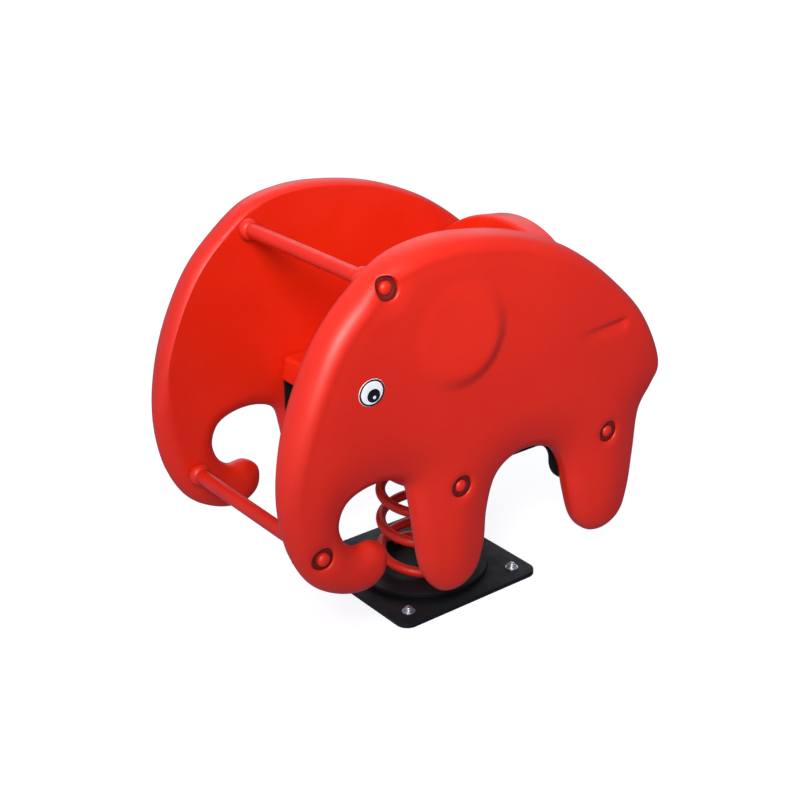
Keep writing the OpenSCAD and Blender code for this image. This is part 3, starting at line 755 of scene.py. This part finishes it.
def wire(angles, sides, end_round):
    """A round wire along the coil between angles, with rounded ends where they are free."""
    path = np.array([coil_at(a) for a in angles])
    way = np.gradient(path, axis=0)
    way /= np.linalg.norm(way, axis=1)[:, None]
    verts = []
    radii = np.full(len(path), float(WIRE_R))
    if end_round[0]:
        radii[0] -= WIRE_NIP
    if end_round[1]:
        radii[-1] -= WIRE_NIP
    for p, w, r in zip(path, way, radii):
        out = np.array([p[0], p[1], 0]) / COIL_R
        out -= w * (out @ w)
        out /= np.linalg.norm(out)
        side = np.cross(w, out)
        verts += [p + r * (math.cos(t) * out + math.sin(t) * side)
                  for t in np.arange(sides) * 2 * math.pi / sides]
    faces = []
    for i in range(len(path) - 1):
        for k in range(sides):
            n = (k + 1) % sides
            faces.append((i * sides + k, i * sides + n, (i + 1) * sides + n, (i + 1) * sides + k))
    faces.append(tuple(range(sides)))
    faces.append(tuple((len(path) - 1) * sides + k for k in range(sides)))
    return np.array(verts), faces


def make_spring():
    """Two halves of one coil, the lower from its bottom end to its middle and the upper from there to its top
    end.
    """
    total = 2 * COIL_CLOSED + COIL_ACTIVE
    end = math.degrees(2 * WIRE_R / COIL_R)
    middle = total / 2
    count = round((middle + end) / WIRE_STEP)
    low_z, high_z = COIL_LOW_Z, COIL_LOW_Z + COIL_RISE
    mid_z = (low_z + high_z) / 2
    halves = (("spring_lower_coils", -end, middle, (True, False), ("base", "coil"), low_z, mid_z),
              ("spring_upper_coils", middle, total + end, (False, True), ("coil", "rider"), mid_z, high_z))
    for name, start, stop, free, bodies, z0, z1 in halves:
        angles = list(np.linspace(start, stop, count + 1))
        nip = math.degrees(WIRE_NIP / COIL_R)
        if free[0]:
            angles.insert(1, start + nip)
        if free[1]:
            angles.insert(-1, stop - nip)
        half = as_object(name, *wire(angles, WIRE_SIDES, free), RED_STEEL, "red_steel")
        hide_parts("spring")
        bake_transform(half)


# Collars, caps and fasteners

COLLAR_BALL_R = 14
COLLAR_BALL_AT = (BAR_R - 7.5, 10.5)
COLLAR_SIDES = 48
CAP_R = 12.5
CAP_DOME = 8
CAP_SINK = 1.5
CAP_RING_R = 20.9
CAP_RING_SINK = 8
CAP_LAP = 2
CAP_SIDES = 40
BOLT_TOP = 245.5
NUT_R = 9.4
NUT_H = 4.6
NUT_Z = 1.8
NUT_TIP_R = 6.2
NUT_TIP_H = 3
NUT_TIP_Z = 6
STEEL_EDGE = 1.2
BRIGHT_EDGE = 0.5
SHARP = math.radians(35)
FLAT = math.radians(0.4)


def collar_profile():
    """A ball-shaped collar that runs into the bar, from the bar's side to the panel's."""
    ball = arc(COLLAR_BALL_AT, COLLAR_BALL_R, -57, 43, 14)
    return ball + [(BAR_R, ball[-1][1]), (BAR_R, ball[0][1]), ball[0]]


def make_collars():
    """A collar at each end of the two bars."""
    for node, share in (("handle_bar_collars", HANDLE), ("foot_bar_collars", FOOT)):
        x, z = place(share)
        for name, way, axis in SIDES:
            at = (x, way * (PANEL_GAP / 2 - COLLAR_L), z)
            verts, faces = turned_ring(collar_profile(), COLLAR_SIDES, at, axis)
            collar = as_object(name + "_" + node[:-1], verts, faces, RED, "red_plastic")
            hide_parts(node)
            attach(collar, "rider")


def hexagon(r, h, chamfer):
    """A hexagonal block with its top corners turned off, as a nut has."""
    return lathe([(0, 0), (r, 0), (r, h - chamfer), (r * 0.87, h), (0, h)], 6)


def cap_dome(low, rise):
    """A snap-on dome with straight sides below it, as (radius, height) points."""
    top = [(CAP_R * math.cos(a), rise - CAP_DOME * (1 - math.sin(a)))
           for a in np.radians(range(0, 90, 9))]
    return [(0, low), (CAP_R, low)] + top + [(0, rise)]


def cap_ring(low):
    """The dished ring that a dome snaps into, from its inside to its outside; it is drawn in dark red as
    painted shade in the pocket.
    """
    hole, foot = CAP_R - CAP_LAP, CAP_RING_R - 6
    return [(hole, low), (foot, low), (CAP_RING_R, low + 2.6), (CAP_RING_R - 0.4, low + 3.4),
            (foot, low + 1.2), (hole, low + 1.4), (hole, low)]


def washer_cover():
    """A low cover over a washer, which lies level where the ring above it leans; its dark red is painted
    shade over the washer.
    """
    low, high = PANEL_WASHER_TOP - 1.5, PANEL_WASHER_TOP + 0.6
    hole, edge = CAP_R - CAP_LAP, PANEL_WASHER_R + 0.7
    return [(hole, low), (edge, low), (edge, high - 0.4), (edge - 0.4, high), (hole, high), (hole, low)]


def lean_of_face(centre):
    """Height of the face about a pocket, its lean along X and Z, and how far it falls below that plane."""
    rim = rings(centre, [CAP_RING_R], 24)
    height = soft_face(rim, edge_distance(rim, SIDE_CURVE))
    lean = height @ (rim - centre) * 2 / (len(rim) * CAP_RING_R ** 2)
    fall = (height.mean() + (rim - centre) @ lean - height).max()
    return height.mean(), lean, fall


def make_bolt_caps():
    """Two-part caps over the bolts and washers: a red dome, and a ring and washer cover set in the pocket,
    coloured dark red as painted shade for the deep pocket.
    """
    for name, way, axis in SIDES:
        domes, shade_bases = [], []
        for centre, _ in POCKETS:
            height, lean, fall = lean_of_face(centre)
            face = PANEL_GAP / 2 + height
            low = face - CAP_RING_SINK - fall
            at = np.array([centre[0], 0, centre[1]])
            top = max(face - CAP_SINK, BOLT_TOP)
            domes.append(lathe(cap_dome(low - CAP_LAP, top), CAP_SIDES, at, axis))
            verts, faces = turned_ring(cap_ring(low), CAP_SIDES, at, axis)
            verts[:, 1] += way * ((verts - at)[:, [0, 2]] @ lean)
            shade_bases += [(verts, faces), turned_ring(washer_cover(), CAP_SIDES, at, axis)]
        dome = as_object(name + "_cap_domes", *joined(domes), RED, "red_plastic")
        # Painted shade: the ring and washer cover are dark red so that the pocket round each dome reads as
        # shadowed
        ring = as_object(name + "_cap_shade_rings", *joined(shade_bases), SHADE_RED, "red_plastic")
        for piece in (dome, ring):
            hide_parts("bolt_caps")
            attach(piece, "rider")


def make_anchor_nuts():
    """Low flanged nuts with domed tips on the ground anchors."""
    reach = ANCHOR_PITCH / 2
    tip = [(NUT_TIP_R * math.cos(a), 1 + NUT_TIP_H * math.sin(a)) for a in np.radians(range(0, 90, 15))]
    flange = lathe([(0, 0), (11, 0), (11.4, 0.6), (11, 1.6), (9.6, 2.2), (0, 2.2)], 36)
    nut, nut_faces = hexagon(NUT_R, NUT_H, 1)
    dome, dome_faces = lathe([(0, 0), (NUT_TIP_R, 0)] + tip + [(0, 1 + NUT_TIP_H)], 28)
    parts = [flange, (nut + [0, 0, NUT_Z], nut_faces), (dome + [0, 0, NUT_TIP_Z], dome_faces)]
    corners = (("front_left", 1, 1), ("front_right", 1, -1), ("rear_left", -1, 1), ("rear_right", -1, -1))
    for name, x, y in corners:
        verts, faces = joined(parts)
        at = np.array([x * reach, y * reach, WASHER_TOP_Z])
        piece = as_object("anchor_nut_" + name, verts + at, faces, ZINC, "zinc_steel")
        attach(piece, "base")


def rounded_copy(node, body, material, width):
    """A CAD node's own shape with its sharp edges softened, standing in for the node."""
    mesh = NODES[node].data.copy()
    mesh.name = node + "_finished"
    bm = bmesh.new()
    bm.from_mesh(mesh)
    bmesh.ops.remove_doubles(bm, verts=bm.verts, dist=1e-6)
    bmesh.ops.dissolve_limit(bm, angle_limit=FLAT, verts=bm.verts, edges=bm.edges)
    sharp = [e for e in bm.edges if len(e.link_faces) == 2 and e.calc_face_angle(0) > SHARP]
    bmesh.ops.bevel(bm, geom=sharp, offset=width * MM, offset_type="OFFSET", segments=2, profile=0.5,
                    affect="EDGES", clamp_overlap=True)
    bmesh.ops.triangulate(bm, faces=[f for f in bm.faces if len(f.verts) > 4])
    bm.to_mesh(mesh)
    bm.free()
    obj = shown(node + "_finished", mesh, material)
    weigh_normals(mesh)
    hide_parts(node)
    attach(obj, body)


STEEL = {
    "base": ["base_plate", "lower_spring_seat", "lower_clamps"],
    "rider": ["upper_spring_seat", "upper_clamps", "mounting_plate", "front_cross_tube", "rear_cross_tube",
              "left_rail", "right_rail", "left_side_bracket", "right_side_bracket"]}
BRIGHT = {
    "base": ["anchor_washers", "lower_clamp_bolts"],
    "rider": ["upper_clamp_bolts", "mounting_bolts", "mounting_nuts", "weld_nuts", "seat_bolts",
              "panel_bolts", "panel_washers"]}
PLAIN = {"handle_bar": RED_STEEL, "foot_bar": RED_STEEL, "handle_bar_plugs": ZINC,
         "foot_bar_plugs": ZINC, "seat_inserts": ZINC}


def make_steelwork():
    """Softened copies of the black and bright steel, and finishes for the nodes shown as they are."""
    for body, nodes in STEEL.items():
        for node in nodes:
            rounded_copy(node, body, BLACK, STEEL_EDGE)
    for body, nodes in BRIGHT.items():
        for node in nodes:
            rounded_copy(node, body, ZINC, BRIGHT_EDGE)
    for node, material in PLAIN.items():
        NODES[node].data.materials.clear()
        NODES[node].data.materials.append(material)


# Stage, light and camera

CAMERA_AZIMUTH = math.radians(52.514)
CAMERA_ELEVATION = math.radians(24.109)
CAMERA_ROLL = math.radians(-0.647)
CAMERA_DISTANCE = 2.8599
CAMERA_TARGET = Vector((0.0459, 0, 0.3873))
CAMERA_LENS = 66.805
SKY_AZIMUTH = math.radians(0)
SKY_ELEVATION = math.radians(38)
SKY_DIM = (0.11, 0.13, 0.21, 1)
SKY_BRIGHT = (0.47, 0.53, 0.70, 1)
FLOOR_GREY = (0.345, 0.355)
FLOOR_GLOW = 0.8
FLOOR_DROP = 0.0005
WARM = (1, 0.985, 0.96)
PLAIN_WHITE = (1, 1, 1)
BEAM_AIM = Vector((0, 0.05, 0.85))


def way_to(azimuth, elevation):
    """The direction of an azimuth, from +X towards +Y, and an elevation."""
    return Vector((math.cos(azimuth) * math.cos(elevation), math.sin(azimuth) * math.cos(elevation),
                   math.sin(elevation)))


def make_camera():
    """The photo's camera."""
    data = bpy.data.cameras.new("camera")
    data.lens = CAMERA_LENS
    data.sensor_width = 36
    camera = bpy.data.objects.new("camera", data)
    bpy.context.scene.collection.objects.link(camera)
    back = way_to(CAMERA_AZIMUTH, CAMERA_ELEVATION)
    turn = (-back).to_track_quat("-Z", "Y") @ Matrix.Rotation(CAMERA_ROLL, 3, "Z").to_quaternion()
    camera.rotation_mode = "QUATERNION"
    camera.rotation_quaternion = turn
    camera.location = CAMERA_TARGET + back * CAMERA_DISTANCE
    bpy.context.scene.camera = camera


def add_lamp(name, kind, azimuth, elevation, power, color, aim=CAMERA_TARGET, distance=2.6):
    """A lamp aimed at a point, from an azimuth and an elevation in degrees."""
    data = bpy.data.lights.new(name, kind)
    data.energy = power
    data.color = color
    lamp = bpy.data.objects.new(name, data)
    bpy.context.scene.collection.objects.link(lamp)
    back = way_to(math.radians(azimuth), math.radians(elevation))
    lamp.location = aim + back * distance
    lamp.rotation_mode = "QUATERNION"
    lamp.rotation_quaternion = (-back).to_track_quat("-Z", "Y")
    return data


def make_sky():
    """A studio sky that is bright towards the upper front and dim on the far side of it."""
    world = bpy.data.worlds.new("studio")
    world.use_nodes = True
    tree = world.node_tree
    coords = tree.nodes.new("ShaderNodeTexCoord")
    toward = tree.nodes.new("ShaderNodeVectorMath")
    toward.operation = "DOT_PRODUCT"
    toward.inputs[1].default_value = way_to(SKY_AZIMUTH, SKY_ELEVATION)
    span = tree.nodes.new("ShaderNodeMapRange")
    span.inputs["From Min"].default_value = -1
    span.inputs["From Max"].default_value = 1
    ramp = tree.nodes.new("ShaderNodeValToRGB")
    ramp.color_ramp.elements[0].color = SKY_DIM
    ramp.color_ramp.elements[1].color = SKY_BRIGHT
    tree.links.new(coords.outputs["Generated"], toward.inputs[0])
    tree.links.new(toward.outputs["Value"], span.inputs["Value"])
    tree.links.new(span.outputs["Result"], ramp.inputs["Fac"])
    tree.links.new(ramp.outputs["Color"], tree.nodes["Background"].inputs["Color"])
    bpy.context.scene.world = world


def make_floor():
    """A plain pale floor, in metres, that curves up into a wall far away and lights nothing itself."""
    low, high = ((grey,) * 3 for grey in FLOOR_GREY)
    material, shader = principled("floor", low, 0.9, specular=0.0)
    vary_color(material, shader, noise_on(material, 0.5), low, high)
    shader.inputs["Emission Color"].default_value = (1, 1, 1, 1)
    shader.inputs["Emission Strength"].default_value = FLOOR_GLOW
    verts, faces = lathe([(0, 0), (3, 0)] + arc((10, 7), 7, -90, 0, 10) + [(17, 12)], 64)
    mesh = bpy.data.meshes.new("floor")
    mesh.from_pydata([tuple(v) for v in verts], [], faces)
    mesh.polygons.foreach_set("use_smooth", [True] * len(mesh.polygons))
    mesh.materials.append(material)
    floor = bpy.data.objects.new("floor", mesh)
    bpy.context.scene.collection.objects.link(floor)
    floor.location.z = -FLOOR_DROP
    floor.visible_diffuse = False
    floor.visible_glossy = False
    floor.visible_shadow = False


def make_lamps():
    """A soft key light, a beam on the upper half, and a weaker light from behind."""
    key = add_lamp("key", "SUN", azimuth=50, elevation=26, power=1.05, color=WARM)
    key.angle = math.radians(45)
    beam = add_lamp("beam", "AREA", azimuth=44, elevation=34, power=5.5, color=WARM, aim=BEAM_AIM)
    beam.shape = "DISK"
    beam.size = 1.1
    beam.spread = math.radians(40)
    back = add_lamp("back", "SUN", azimuth=232, elevation=38, power=0.8, color=PLAIN_WHITE)
    back.angle = math.radians(60)


make_sides()
make_eyes()
make_seat()
make_spring()
make_collars()
make_bolt_caps()
make_anchor_nuts()
make_steelwork()
make_floor()
make_sky()
make_lamps()
make_camera()
bpy.context.scene.view_settings.view_transform = "Standard"
